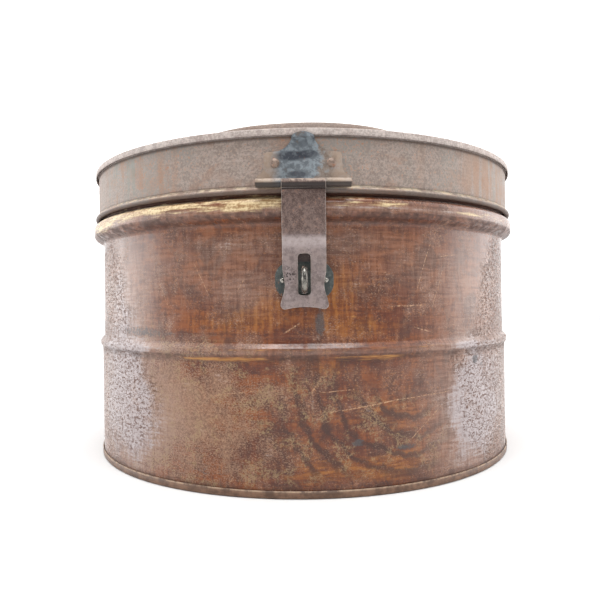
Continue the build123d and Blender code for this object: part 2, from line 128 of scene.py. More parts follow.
def turned_sheet(name, path, thickness, start_deg, arc_deg, steps, shape, marks):
    """Closed shell of sheet metal turned about Z.

    face(a, t) = (r(t) sin a, -r(t) cos a, z(t)) with a measured from the front towards +X, and the
    other face is the same path offset by the thickness. shape(a, z, r) gives a push outwards and a
    lift, added to both faces. The UV map is (a * WRAP_R, z), in metres, so that patterns run true
    round the box. marks holds functions of (a, z), stored as point attributes.
    """
    full = arc_deg >= 360
    count = steps if full else steps + 1
    angle = np.radians(start_deg + arc_deg * np.arange(count) / steps)
    ring = np.concatenate([path, offset_path(path, thickness)[::-1]])
    m = len(ring)
    a, k = np.meshgrid(angle, np.arange(m), indexing="ij")
    r, z = ring[k, 0], ring[k, 1]
    if shape is not None:
        push, lift = shape(a, z, r)
        r, z = r + push, z + lift
    verts = np.stack([r * np.sin(a), -r * np.cos(a), z], axis=-1).reshape(-1, 3)
    i = np.arange(steps)[:, None]
    j = np.arange(m)[None, :]
    i2 = (i + 1) % count
    j2 = (j + 1) % m
    quads = np.stack([i * m + j, i2 * m + j, i2 * m + j2, i * m + j2], axis=-1).reshape(-1, 4)
    faces = [tuple(q) for q in quads.tolist()]
    if not full:
        half = np.arange(len(path) - 1)
        for base, flip in ((0, False), (steps * m, True)):
            near, far = base + half, base + m - 1 - half
            cap = np.stack([near, near + 1, far - 1, far], axis=1)
            if flip:
                cap = cap[:, ::-1]
            faces += [tuple(q) for q in cap.tolist()]
    mesh = bpy.data.meshes.new(name)
    mesh.from_pydata(verts.tolist(), [], faces)
    mesh.update()
    flat_a = np.repeat(angle, m)
    flat_z = np.tile(ring[:, 1], count)
    layer = mesh.uv_layers.new(name="wrap")
    loops = np.zeros(len(mesh.loops), int)
    mesh.loops.foreach_get("vertex_index", loops)
    u = flat_a[loops] * WRAP_R
    if full:
        # the last column of faces ends where the turn begins: its far edge is one turn on
        last = np.repeat(np.arange(len(faces)) // m == steps - 1, 4)
        wrap = last & (flat_a[loops] < angle[1])
        u = u + np.where(wrap, 2 * np.pi * WRAP_R, 0)
    layer.data.foreach_set("uv", np.stack([u, flat_z[loops]], axis=1).ravel())
    for key, values in marks.items():
        store = mesh.attributes.new(key, "FLOAT", "POINT")
        store.data.foreach_set("value", values(flat_a, flat_z).astype(np.float32))
    mesh.polygons.foreach_set("use_smooth", np.ones(len(mesh.polygons), bool))
    piece = bpy.data.objects.new(name, mesh)
    bpy.context.collection.objects.link(piece)
    return piece


# ---------------------------------------------------------------- shader helper
def tone(red, green, blue):
    """A colour given as 0 to 255 on a screen, as the linear values that a shader takes."""
    screen = np.array([red, green, blue]) / 255
    linear = np.where(screen < 0.04, screen / 12.92, ((screen + 0.055) / 1.055) ** 2.4)
    return tuple(float(c) for c in linear)


class Finish:
    """One material's node tree, with short calls for the layers it is mixed from.

    Noise scales are per metre. place is the surface point and wrap the UV map, both in metres.
    """

    SHEEN_ROUGH = 0.25
    IOR = 1.48

    def __init__(self, name):
        self.material = bpy.data.materials.new(name)
        self.material.use_nodes = True
        self.tree = self.material.node_tree
        self.tree.nodes.clear()
        out = self.tree.nodes.new("ShaderNodeOutputMaterial")
        self.shader = self.tree.nodes.new("ShaderNodeBsdfPrincipled")
        self.tree.links.new(self.shader.outputs[0], out.inputs[0])
        coords = self.tree.nodes.new("ShaderNodeTexCoord")
        self.place = coords.outputs["Object"]
        self.wrap = coords.outputs["UV"]
        self.colour = None

    def put(self, socket, value):
        """Links an output, or sets a constant."""
        if isinstance(value, bpy.types.NodeSocket):
            self.tree.links.new(value, socket)
        else:
            socket.default_value = value

    def math(self, operation, a, b=0.0):
        """One math node; an operation on a single number ignores b."""
        node = self.tree.nodes.new("ShaderNodeMath")
        node.operation = operation
        self.put(node.inputs[0], a)
        self.put(node.inputs[1], b)
        return node.outputs[0]

    def add(self, a, b):
        return self.math("ADD", a, b)

    def times(self, a, b):
        return self.math("MULTIPLY", a, b)

    def clamp(self, a):
        """Kept between 0 and 1."""
        node = self.tree.nodes.new("ShaderNodeClamp")
        self.put(node.inputs[0], a)
        return node.outputs[0]

    def step(self, value, low, high):
        """Smooth step from 0 at low to 1 at high."""
        node = self.tree.nodes.new("ShaderNodeMapRange")
        node.interpolation_type = "SMOOTHSTEP"
        self.put(node.inputs["Value"], value)
        if high < low:
            node.inputs["From Min"].default_value = high
            node.inputs["From Max"].default_value = low
            node.inputs["To Min"].default_value = 1.0
            node.inputs["To Max"].default_value = 0.0
        else:
            node.inputs["From Min"].default_value = low
            node.inputs["From Max"].default_value = high
        return node.outputs[0]

    def band(self, value, start, full, still_full, end):
        """1 from full to still_full, falling to 0 at start and at end."""
        return self.times(self.step(value, start, full), self.step(value, end, still_full))

    def length(self, vector):
        """Length of a vector."""
        node = self.tree.nodes.new("ShaderNodeVectorMath")
        node.operation = "LENGTH"
        self.put(node.inputs[0], vector)
        return node.outputs["Value"]

    def scaled(self, vector, scale, turn=0.0, shift=(0, 0, 0)):
        """A coordinate stretched per axis, turned about its third axis by turn degrees."""
        node = self.tree.nodes.new("ShaderNodeMapping")
        self.put(node.inputs["Vector"], vector)
        node.inputs["Location"].default_value = shift
        node.inputs["Rotation"].default_value = (0, 0, math.radians(turn))
        node.inputs["Scale"].default_value = scale
        return node.outputs[0]

    def noise(self, vector, scale, detail, rough=0.55, warp=0.0):
        """Fractal noise, mostly between 0.3 and 0.7."""
        node = self.tree.nodes.new("ShaderNodeTexNoise")
        self.put(node.inputs["Vector"], vector)
        node.inputs["Scale"].default_value = scale
        node.inputs["Detail"].default_value = detail
        node.inputs["Roughness"].default_value = rough
        node.inputs["Distortion"].default_value = warp
        return node.outputs[0]

    def cells(self, vector, scale):
        """Distance to the nearest of scattered points, in units of 1 / scale."""
        node = self.tree.nodes.new("ShaderNodeTexVoronoi")
        self.put(node.inputs["Vector"], vector)
        node.inputs["Scale"].default_value = scale
        return node.outputs["Distance"]

    def mark(self, name):
        """A point attribute of the sheet."""
        node = self.tree.nodes.new("ShaderNodeAttribute")
        node.attribute_name = name
        return node.outputs["Fac"]

    def mix(self, amount, a, b):
        """Colour a going to colour b."""
        node = self.tree.nodes.new("ShaderNodeMix")
        node.data_type = "RGBA"
        self.put(node.inputs[0], amount)
        self.put(node.inputs[6], a if isinstance(a, bpy.types.NodeSocket) else (*a, 1))
        self.put(node.inputs[7], b if isinstance(b, bpy.types.NodeSocket) else (*b, 1))
        return node.outputs[2]

    def blend(self, amount, a, b):
        """Number a going to number b."""
        node = self.tree.nodes.new("ShaderNodeMix")
        node.data_type = "FLOAT"
        self.put(node.inputs[0], amount)
        self.put(node.inputs[2], a)
        self.put(node.inputs[3], b)
        return node.outputs[0]

    def axes(self):
        """The X, Y and Z of the surface point, in metres."""
        node = self.tree.nodes.new("ShaderNodeSeparateXYZ")
        self.put(node.inputs[0], self.place)
        return node.outputs

    def spot(self, vector, centre, reach, edge):
        """1 inside an ellipsoid about centre, falling to 0 at its reach; a reach of 0 is endless."""
        scale = [1 / r if r else 0 for r in reach]
        moved = self.scaled(vector, scale, 0, [-c * s for c, s in zip(centre, scale)])
        return self.step(self.length(moved), 1.0, 1.0 - edge)

    def veins(self, vector, scale, width):
        """1 on worm-like lines, where a noise passes through its middle value."""
        field = self.noise(vector, scale, 3, 0.55, 0.6)
        return self.step(self.math("ABSOLUTE", self.add(field, -0.5)), width, 0.3 * width)

    def bent(self, vector, scale, amount):
        """A coordinate pushed about by a noise, by up to half of amount each way."""
        noise = self.tree.nodes.new("ShaderNodeTexNoise")
        self.put(noise.inputs["Vector"], vector)
        noise.inputs["Scale"].default_value = scale
        node = self.tree.nodes.new("ShaderNodeVectorMath")
        node.operation = "MULTIPLY_ADD"
        self.put(node.inputs[0], noise.outputs["Color"])
        node.inputs[1].default_value = (amount, amount, 0)
        self.put(node.inputs[2], vector)
        return node.outputs[0]

    def scratch(self, vector, start, end, width):
        """1 on a thin line on the wrap, from start to end, each (degrees, height mm), else 0.

        The coordinate is turned so that its X runs along the line from the start and Y across it.
        The line is width mm to each side and fades over its ends.
        """
        a = np.array([math.radians(start[0]) * WRAP_R, start[1] * MM])
        b = np.array([math.radians(end[0]) * WRAP_R, end[1] * MM])
        length = float(np.linalg.norm(b - a))
        turned = self.tree.nodes.new("ShaderNodeMapping")
        turned.vector_type = "TEXTURE"
        self.put(turned.inputs["Vector"], vector)
        turned.inputs["Location"].default_value = (*a, 0)
        turned.inputs["Rotation"].default_value = (0, 0, math.atan2(b[1] - a[1], b[0] - a[0]))
        split = self.tree.nodes.new("ShaderNodeSeparateXYZ")
        self.put(split.inputs[0], turned.outputs[0])
        along, across = split.outputs[0], self.math("ABSOLUTE", split.outputs[1])
        inside = self.band(along, -2 * MM, 3 * MM, length - 4 * MM, length + 2 * MM)
        return self.times(inside, self.step(across, width * MM, 0.35 * width * MM))

    def lay(self, amount, colour, strength=1.0):
        """Lays a colour over those so far; returns how much of it covers them."""
        part = self.times(amount, strength)
        self.colour = self.mix(part, self.colour, colour)
        return part

    def finish(self, rough, metal=0.0, bump=None, lift=0.0, sheen=0.0):
        """Connects the colour laid so far and the rest to the shader; lift is the bumps' height."""
        self.put(self.shader.inputs["Base Color"], self.colour)
        self.put(self.shader.inputs["Roughness"], rough)
        self.put(self.shader.inputs["Metallic"], metal)
        self.shader.inputs["Sheen Weight"].default_value = sheen
        self.shader.inputs["Sheen Roughness"].default_value = self.SHEEN_ROUGH
        self.shader.inputs["IOR"].default_value = self.IOR
        if bump is not None:
            node = self.tree.nodes.new("ShaderNodeBump")
            node.inputs["Distance"].default_value = lift
            self.put(node.inputs["Height"], bump)
            self.put(self.shader.inputs["Normal"], node.outputs[0])
        return self.material


# ---------------------------------------------------------------- paths of the turned sheets, mm
WALL_PATH = [
    (166.0, 0.6),
    (166.0, 82.2, 1.6),
    (167.5, 84.4, 1.6),
    (167.5, 87.6, 1.6),
    (164.5, 90.8, 1.6),
    (164.5, 162.0, 3.5),
    (171.5, 165.2, 4.2),
    (171.5, 174.6, 4.2),
    (165.5, 177.2, 1.6),
    (165.5, 192.0, 1.72),
    (161.9, 192.0, 1.72),
    (161.9, 188.4, 1.72),
    (163.8, 188.4),
]
LAP_PATH = [(166.0, 5.0)] + WALL_PATH[1:5] + [(164.5, 159.4)]
BASE_PATH = [
    (0.5, 3.0),
    (164.2, 3.0, 0.8),
    (164.2, 0.0, 0.8),
    (167.0, 0.0, 0.8),
    (167.0, 4.6),
]
SKIRT_PATH = [
    (168.9, 182.0),
    (170.4, 182.0, 1.72),
    (170.4, 178.4, 1.72),
    (166.8, 178.4, 1.72),
    (166.8, 182.5, 0.9),
    (167.2, 184.0, 0.9),
    (167.2, 215.4, 0.9),
    (169.0, 215.4),
]
LID_PATH = [
    (0.5, 245.0),
    (82.5, 245.0, 150),
    (102.5, 240.5, 5.5),
    (110.0, 221.0, 5.5),
    (166.5, 213.8, 1.0),
    (166.5, 216.0, 0.7),
    (170.0, 216.0, 0.8),
    (170.0, 211.6),
]


# ---------------------------------------------------------------- marks of age and painted light, by place
# Each is (degrees round from the front, height mm, half-width degrees, half-height mm, amount).
MARKS = {
    "amber": [
        (-12.9, 106, 8, 11, 0.9), (-6, 116, 5, 14, 0.6), (5.9, 118, 4, 15, 0.9),
        (16.4, 99.6, 9, 9, 0.7),
        (21.9, 133, 6, 12, 0.6), (10, 126, 5, 10, 0.6), (4, 100, 8, 7, 0.7), (-24, 104, 6, 7, 0.4),
        (5.6, 75.5, 5, 6, 0.9), (20, 17, 8, 8, 1.3), (9, 16, 9, 7, 1.1), (12, 48, 9, 12, 0.5),
        (24, 40, 8, 14, 0.4), (0, 30, 6, 14, 0.5), (-3, 12, 6, 6, 0.5),
        (120, 60, 20, 25, 0.7), (150, 120, 15, 20, 0.6), (200, 50, 24, 20, 0.7),
        (250, 125, 20, 22, 0.6),
        (172, 96, 14, 8, 0.6), (228, 22, 16, 9, 0.8), (96, 110, 12, 16, 0.5),
    ],
    "matte": [
        (-20, 50, 15, 26, 0.9), (-31, 42, 12, 34, 0.7), (-44, 46, 14, 40, 0.4), (-14, 26, 8, 14, 0.4),
        (-11, 62, 8, 10, 0.3), (-24, 12, 18, 8, 0.3), (-34, 60, 9, 26, 0.4),
        (170, 50, 30, 30, 0.7), (230, 30, 20, 30, 0.8), (100, 30, 16, 26, 0.6), (200, 112, 18, 20, 0.5),
    ],
    "figured": [
        (10, 38, 13, 20, 1.1), (24, 30, 9, 20, 0.9), (2, 30, 8, 18, 0.5), (-1, 58, 6, 8, 0.5),
        (4, 72, 10, 5, 0.4), (140, 40, 20, 24, 0.8),
    ],
    "pitted": [
        (46, 50, 10, 40, 0.9), (58, 50, 12, 60, 1.0), (-44, 52, 12, 36, 0.8), (-58, 60, 12, 60, 1.0),
        (58, 125, 10, 40, 0.9), (-60, 125, 10, 40, 0.9), (36, 76, 6, 8, 0.5),
        (140, 90, 30, 60, 0.7), (215, 110, 30, 50, 0.7),
    ],
    "dark": [
        # the spot at 0 degrees, 141 mm is painted shade inside the strap's slot; the rest are stains
        (3.1, 102, 1.1, 8, 1.0), (0, 141, 1.5, 4, 2.0), (0, 113, 4.5, 2.2, 0.6),
        (10.7, 31.8, 1.7, 2.6, 0.8), (21.5, 26.8, 3.2, 2.4, 0.75), (8.0, 120, 1.4, 7, 0.4),
        (-41.9, 97, 12, 5, 0.55), (-23, 95, 14, 3, 0.35), (30, 95, 12, 3, 0.3), (43, 76, 1.1, 3.0, 1.3),
        (46, 72, 1.6, 1.6, 0.7), (-22, 14, 1.6, 5, 0.5), (160, 70, 2, 8, 0.8), (205, 30, 3, 4, 0.7),
    ],
    "worn": [
        (-54, 173, 18, 5.0, 1.0), (-30, 174, 14, 3.6, 1.0), (-9, 175, 7, 3.0, 1.6),
        (-12, 170, 10, 2.4, 1.0), (16, 172, 10, 2.0, 0.9),
        (9, 176, 6, 1.6, 0.8), (38, 170, 6, 1.2, 0.9), (-56, 168, 8, 3, 0.6), (52, 171, 10, 2, 0.5),
        (-17, 81.6, 9, 1.3, 1.7), (14, 82, 8, 1.1, 1.2), (0, 87, 60, 1.2, 0.35),
        (100, 172, 20, 4, 0.7), (180, 172, 30, 4, 0.8), (250, 172, 20, 4, 0.7),
        (10, 107, 0.9, 1.0, 1.2),
    ],
    "fade_and_painted_sheen": [
        # on the front mostly painted reflection, strongest towards the sides; the thin bands at 86 mm
        # and 168 to 172 mm are painted highlight on the rib and the bead
        (-26, 138, 20, 22, 0.6), (-13, 122, 7, 14, 0.8), (-54, 120, 14, 50, 1.4),
        (24, 138, 26, 20, 0.6), (56, 130, 12, 50, 0.4), (41, 45, 13, 56, 2.2), (-31, 38, 7, 26, 0.8),
        (-12, 150, 11, 9, 0.6), (10, 152, 12, 8, 0.6), (36, 128, 10, 30, 0.5),
        (30, 171, 40, 4, 0.6), (-20, 168, 30, 3, 0.6), (-42, 48, 9, 54, 1.5),
        (60, 45, 13, 60, 1.2), (-55, 40, 14, 50, 1.7), (-24, 88, 20, 6, 0.4), (0, 86, 70, 2, 0.8),
        (0, 169.5, 70, 1.5, 1.0), (160, 140, 40, 30, 0.7), (230, 80, 30, 50, 0.7),
    ],
}
SKIRT_MARKS = {
    "runs": [
        (-47, 198, 10, 30, 1.0), (48, 198, 12, 30, 1.0), (-30, 198, 6, 30, 0.5), (25, 198, 8, 30, 0.35),
        (120, 198, 26, 30, 0.8), (200, 198, 30, 30, 0.7),
    ],
}
# Each is (degrees, height mm) of the start, the same of the end, and the half-width in mm.
SCRATCHES = [
    ((28.9, 152), (24.9, 121), 0.30), ((32.3, 134), (29.2, 111), 0.28),
    ((18.5, 112.2), (27.3, 113.1), 0.5), ((4.9, 50.8), (21.1, 56.6), 0.55),
    ((20, 56.2), (34.1, 58.6), 0.3), ((-4.2, 97), (-0.7, 103.4), 0.6),
    ((-13.8, 122.6), (-12.2, 130.3), 0.4), ((2.9, 62.1), (11, 64.4), 0.4), ((22, 30), (31, 50), 0.35),
    ((-24, 140), (-20, 118), 0.25), ((31, 143), (37, 145), 0.3), ((-20, 60), (-9, 64), 0.25),
    ((1.4, 62), (3.4, 71), 0.8), ((24, 100), (29, 96), 0.35), ((-34, 128), (-31, 112), 0.25),
    ((95, 60), (118, 74), 0.5), ((150, 120), (170, 112), 0.5), ((205, 140), (214, 96), 0.4),
    ((184, 66), (199, 58), 0.4), ((232, 96), (244, 104), 0.35),
]


def marks_of(places):
    """Point attributes, each the sum of its spots."""
    return {key: (lambda a, z, spots=spots: patches(a, z, spots)) for key, spots in places.items()}


def wall_shape(a, z, r):
    """Dents of the wall: gentle waviness, none at the foot and the neck, and a few knocks."""
    free = np.clip((z / MM - 6) / 20, 0, 1) * np.clip((176 - z / MM) / 10, 0, 1)
    push = waviness(a, z, 3, 0.35 * MM) * free
    knocks = [(24, 58, 7, 12, 0.8), (-28, 118, 8, 14, 0.7), (47, 60, 5, 9, 0.9), (11, 170, 3, 6, 0.5)]
    push -= MM * free * patches(a, z, knocks)
    return push, np.zeros_like(a)


def skirt_shape(a, z, r):
    """The skirt's wired edge waves a little up and down and in and out."""
    low = np.clip((200 - z / MM) / 20, 0, 1)
    push = waviness(a, z, 7, 0.22 * MM)
    lift = waviness(a, 0 * z, 12, 0.35 * MM) * low
    return push, lift


def lid_shape(a, z, r):
    """The lid top: slow waves in the crown and shoulder, and a slight in-and-out at its outer edge."""
    edge = np.clip((164.5 * MM - r) / (12 * MM), 0, 1) * np.clip((r - 70 * MM) / (20 * MM), 0, 1)
    lift = waviness(a, r, 21, 0.6 * MM) * edge
    push = waviness(a, 0 * z + 0.2, 7, 0.22 * MM) * np.clip((r - 160 * MM) / (6 * MM), 0, 1)
    return push, lift


# ---------------------------------------------------------------- finishes
def japan_lacquer(name):
    """Old japanning on tin: mottled red-brown, amber graining, dull rust speckle, pits, wear, painted
    light and shade.
    """
    f = Finish(name)
    wobble = f.bent(f.wrap, 90, 0.0012)
    height = f.axes()[2]
    broad = f.noise(f.place, 60, 4, 0.6, 0.3)
    medium = f.noise(f.place, 240, 4, 0.62)
    speck = f.noise(f.place, 620, 3, 0.7)
    fine = f.noise(f.place, 1500, 2, 0.7)
    strokes = f.noise(f.scaled(wobble, (55, 520, 1)), 1.0, 4, 0.65, 0.5)
    upright = f.noise(f.scaled(wobble, (420, 50, 1), 4), 1.0, 4, 0.6, 0.4)

    # ground: red-brown, amber-brown and rose-brown in long soft clouds, brushed round and up
    drift = f.noise(f.scaled(wobble, (26, 60, 1)), 1.0, 4, 0.6, 0.6)
    f.colour = f.mix(f.step(drift, 0.40, 0.60), tone(98, 46, 24), tone(130, 68, 26))
    f.lay(f.step(broad, 0.44, 0.62), tone(110, 74, 60), 0.7)
    brush = f.add(f.times(strokes, 0.55), f.times(upright, 0.45))
    f.lay(f.step(brush, 0.53, 0.41), tone(70, 38, 28), 0.65)
    f.lay(f.step(brush, 0.52, 0.64), tone(132, 86, 58), 0.50)
    f.lay(f.step(speck, 0.50, 0.66), tone(134, 80, 44), 0.30)
    fleck = f.step(f.add(speck, f.times(broad, 0.35)), 0.76, 0.81)
    f.lay(fleck, tone(160, 104, 62), 0.5)

    # dark smoky patches
    smoke = f.step(f.noise(f.scaled(wobble, (55, 48, 1), 30), 1.0, 5, 0.68, 0.8), 0.49, 0.62)
    f.lay(smoke, tone(70, 38, 29), 0.75)

    # amber where the graining shows through: brushed up above the rib, round the box below it
    upper = f.add(f.times(upright, 0.5), f.times(brush, 0.5))
    comb = f.blend(f.step(height, 0.055, 0.070), strokes, upper)
    amber = f.add(f.times(f.mark("amber"), 0.30), f.add(f.times(comb, 0.35), f.times(drift, 0.45)))
    amber = f.step(amber, 0.48, 0.78)
    shade = f.step(f.add(f.times(comb, 0.7), f.times(speck, 0.3)), 0.42, 0.60)
    honey = f.mix(shade, tone(120, 64, 24), tone(164, 104, 40))
    f.lay(amber, honey, 0.70)

    # dark figure: bent rings about a point up on the right, broken by noise
    centre_x, centre_z = math.radians(24) * WRAP_R, 75 * MM
    radius = f.length(f.scaled(f.bent(f.wrap, 60, 0.006), (1, 1, 0), 0, (-centre_x, -centre_z, 0)))
    turns = f.add(f.times(radius, 560), f.times(broad, 10))
    bands = f.add(f.math("SINE", turns), f.times(f.add(strokes, -0.5), 3.0))
    flame = f.times(f.step(bands, 0.0, 1.1), f.step(f.mark("figured"), 0.10, 0.60))
    f.lay(flame, tone(62, 34, 26), 0.85)

    # dull tan speckle that thins out at its border
    grit = f.noise(f.scaled(f.wrap, (900, 1200, 1)), 1.0, 2, 0.65)
    rust = f.mark("matte")
    matte = f.add(f.times(rust, 0.24), f.add(grit, f.times(f.add(broad, -0.5), 0.6)))
    matte_amount = f.step(matte, 0.60, 0.72)
    shade = f.step(f.add(f.times(speck, 0.5), f.times(fine, 0.5)), 0.42, 0.58)
    tan = f.mix(shade, tone(122, 88, 68), tone(166, 132, 106))
    f.lay(matte_amount, tan, 0.75)
    patch = f.step(f.noise(f.place, 95, 3, 0.6), 0.50, 0.58)
    crust = f.add(rust, f.times(f.mark("figured"), 0.3))
    crust = f.times(f.times(f.veins(wobble, 430, 0.06), patch), f.step(crust, 0.02, 0.2))
    f.lay(crust, tone(156, 130, 94), 0.65)

    # faded lilac bloom under painted reflection towards the sides and painted highlight on the rib and
    # bead, eaten by worm-like pits
    veil = f.clamp(f.times(f.mark("fade_and_painted_sheen"), f.add(0.26, f.times(f.step(brush, 0.40, 0.60), 0.30))))
    f.lay(veil, tone(158, 132, 118))
    film = f.add(f.times(strokes, 0.35), f.add(f.times(upright, 0.2), f.times(speck, 0.35)))
    film = f.add(film, f.times(f.add(broad, -0.5), 0.45))
    bloom_and_painted_sheen = f.step(f.add(f.times(f.step(f.mark("fade_and_painted_sheen"), 0.9, 2.2), 0.32), film), 0.53, 0.78)
    f.lay(bloom_and_painted_sheen, tone(180, 172, 175), 0.75)
    pitted = f.step(f.add(f.mark("pitted"), f.times(broad, 0.8)), 0.62, 1.0)
    dashes = f.step(f.noise(f.scaled(wobble, (330, 560, 1)), 1.0, 3, 0.7), 0.47, 0.42)
    worms = f.times(f.math("MAXIMUM", f.veins(f.place, 300, 0.026), dashes), pitted)
    f.lay(worms, tone(92, 60, 44), 0.85)

    # stains, and painted shade inside the strap's slot
    stain = f.step(f.add(f.mark("dark"), f.times(f.add(speck, -0.5), 1.3)), 0.35, 0.62)
    f.lay(stain, tone(72, 72, 74), 0.75)

    # scratches through the lacquer, broken along their length
    cut = 0.0
    for start, end, width in SCRATCHES:
        cut = f.math("MAXIMUM", f.scratch(wobble, start, end, width), cut)
    cut = f.times(cut, f.step(f.noise(f.wrap, 700, 2, 0.6), 0.42, 0.58))
    f.lay(cut, tone(200, 158, 122), 0.75)

    # undercoat and bare tin rubbed out on the bead and the rib, in streaks
    rub = f.noise(f.scaled(wobble, (70, 700, 1)), 1.0, 4, 0.6, 0.4)
    worn = f.add(f.times(f.mark("worn"), 0.36), f.add(f.times(rub, 0.7), f.times(medium, 0.3)))
    worn_amount = f.step(worn, 0.62, 0.88)
    brass = f.mix(f.step(rub, 0.42, 0.60), tone(140, 86, 40), tone(188, 134, 70))
    shade = f.step(f.add(f.times(rub, 0.6), f.times(speck, 0.4)), 0.42, 0.60)
    cream = f.mix(shade, tone(158, 124, 84), tone(228, 206, 162))
    bare = f.mix(f.step(height, 0.120, 0.130), brass, cream)
    f.lay(worn_amount, bare, 0.9)

    # painted shade under the bead and the rib and in the gap under the lid; darker towards the foot
    under_bead = f.times(f.band(height, 0.1606, 0.1630, 0.1664, 0.1684), 1.4)
    under_rib = f.times(f.band(height, 0.0785, 0.0815, 0.0836, 0.0846), 0.8)
    foot = f.times(f.step(height, 0.0085, 0.0050), 0.7)
    neck = f.step(height, 0.1762, 0.1772)
    painted_shade_and_grime = f.clamp(f.add(f.add(under_bead, under_rib), foot))
    painted_shade_and_grime = f.clamp(f.add(f.times(painted_shade_and_grime, f.step(medium, 0.30, 0.62)), neck))
    painted_shade_and_grime = f.times(painted_shade_and_grime, f.add(1.0, f.times(worn_amount, -0.8)))
    f.lay(painted_shade_and_grime, tone(58, 34, 26), 0.72)

    rough = f.blend(f.step(medium, 0.35, 0.65), 0.17, 0.28)
    rough = f.blend(matte_amount, rough, 0.60)
    rough = f.blend(worms, rough, 0.70)
    rough = f.blend(worn_amount, rough, 0.38)
    rough = f.blend(painted_shade_and_grime, rough, 0.60)
    bump = f.add(f.times(medium, 0.30), f.add(f.times(fine, 0.12), f.times(strokes, 0.2)))
    bump = f.add(bump, f.add(f.times(worms, -0.5), f.times(cut, -0.6)))
    bump = f.add(bump, f.times(matte_amount, f.times(speck, 0.5)))
    return f.finish(rough, bump=bump, lift=0.00012, sheen=0.25)


def lid_finish(name):
    """Faded taupe lacquer of the lid: fine grain, rust flecks, soft upright runs, rubbed edges."""
    f = Finish(name)
    height = f.axes()[2]
    slow = f.noise(f.place, 16, 4, 0.6)
    medium = f.noise(f.place, 170, 5, 0.68)
    speck = f.noise(f.place, 700, 3, 0.75)
    fine = f.noise(f.place, 1500, 2, 0.7)
    weave = f.noise(f.scaled(f.wrap, (60, 600, 1)), 1.0, 4, 0.65, 0.4)
    grain = f.add(f.times(medium, 0.30), f.add(f.times(speck, 0.55), f.times(weave, 0.15)))
    f.colour = f.mix(f.step(grain, 0.42, 0.62), tone(130, 115, 106), tone(168, 154, 145))
    f.lay(f.step(slow, 0.46, 0.62), tone(138, 136, 130), 0.45)
    warm = f.step(f.noise(f.place, 38, 4, 0.65, 0.6), 0.48, 0.62)
    f.lay(warm, tone(146, 112, 92), 0.42)
    rust = f.step(f.add(f.times(medium, 0.7), f.times(speck, 0.5)), 0.64, 0.76)
    f.lay(rust, tone(130, 92, 70), 0.40)
    fleck = f.step(f.add(speck, f.times(slow, 0.3)), 0.74, 0.80)
    f.lay(fleck, tone(168, 106, 60), 0.6)

    # upright runs, grey-green and orange-brown by turns
    runs = f.noise(f.scaled(f.wrap, (75, 7, 1)), 1.0, 3, 0.6, 0.3)
    where = f.step(f.mark("runs"), 0.1, 0.9)
    f.lay(f.times(f.step(runs, 0.52, 0.62), where), tone(150, 108, 76), 0.55)
    f.lay(f.times(f.step(runs, 0.48, 0.38), where), tone(122, 128, 120), 0.55)

    # the top has browned under dust
    radius = f.length(f.scaled(f.place, (1, 1, 0)))
    top = f.times(f.step(radius, 0.1668, 0.1658), f.step(height, 0.2090, 0.2110))
    cloud = f.step(f.add(f.times(grain, 0.6), f.times(slow, 0.4)), 0.42, 0.60)
    f.lay(top, f.mix(cloud, tone(104, 84, 72), tone(146, 128, 116)), 0.8)

    # rim band, rubbed curled lower edge, and painted shade with some grime under the curl and the band
    band = f.times(f.step(height, 0.2112, 0.2118), f.add(1.0, f.times(top, -1.0)))
    shade = f.step(f.add(f.times(medium, 0.5), f.times(speck, 0.5)), 0.42, 0.60)
    pink = f.mix(shade, tone(162, 148, 142), tone(206, 195, 189))
    f.lay(band, pink, 0.75)
    edge = f.band(height, 0.1806, 0.1816, 0.1826, 0.1838)
    rub = f.times(edge, f.step(f.add(medium, f.times(weave, 0.5)), 0.66, 0.88))
    f.lay(rub, tone(206, 188, 160), 0.8)
    low = f.step(height, 0.1812, 0.1796)
    crease = f.band(height, 0.2094, 0.2112, 0.2116, 0.2122)
    painted_shade_and_grime = f.clamp(f.add(f.times(low, 0.9), f.times(crease, 0.8)))
    f.lay(painted_shade_and_grime, tone(62, 44, 36), 0.8)

    rough = f.blend(f.step(medium, 0.3, 0.7), 0.50, 0.70)
    bump = f.add(f.times(medium, 0.4), f.add(f.times(fine, 0.15), f.times(speck, 0.3)))
    return f.finish(rough, bump=bump, lift=0.00013)


def base_finish(name):
    """Folded base seam: brown with a thin rubbed upper edge."""
    f = Finish(name)
    height = f.axes()[2]
    medium = f.noise(f.place, 180, 5, 0.7)
    speck = f.noise(f.place, 800, 4, 0.75)
    f.colour = f.mix(f.step(medium, 0.35, 0.65), tone(82, 58, 44), tone(120, 90, 70))
    rub = f.step(f.add(medium, f.times(speck, 0.4)), 0.55, 0.80)
    lip = f.times(f.step(height, 0.0036, 0.0042), rub)
    f.lay(lip, tone(178, 152, 126), 0.7)
    f.lay(f.step(speck, 0.60, 0.72), tone(150, 92, 54), 0.6)
    rough = f.blend(medium, 0.40, 0.65)
    bump = f.add(medium, f.times(speck, 0.5))
    return f.finish(rough, bump=bump, lift=0.00012, sheen=0.2)


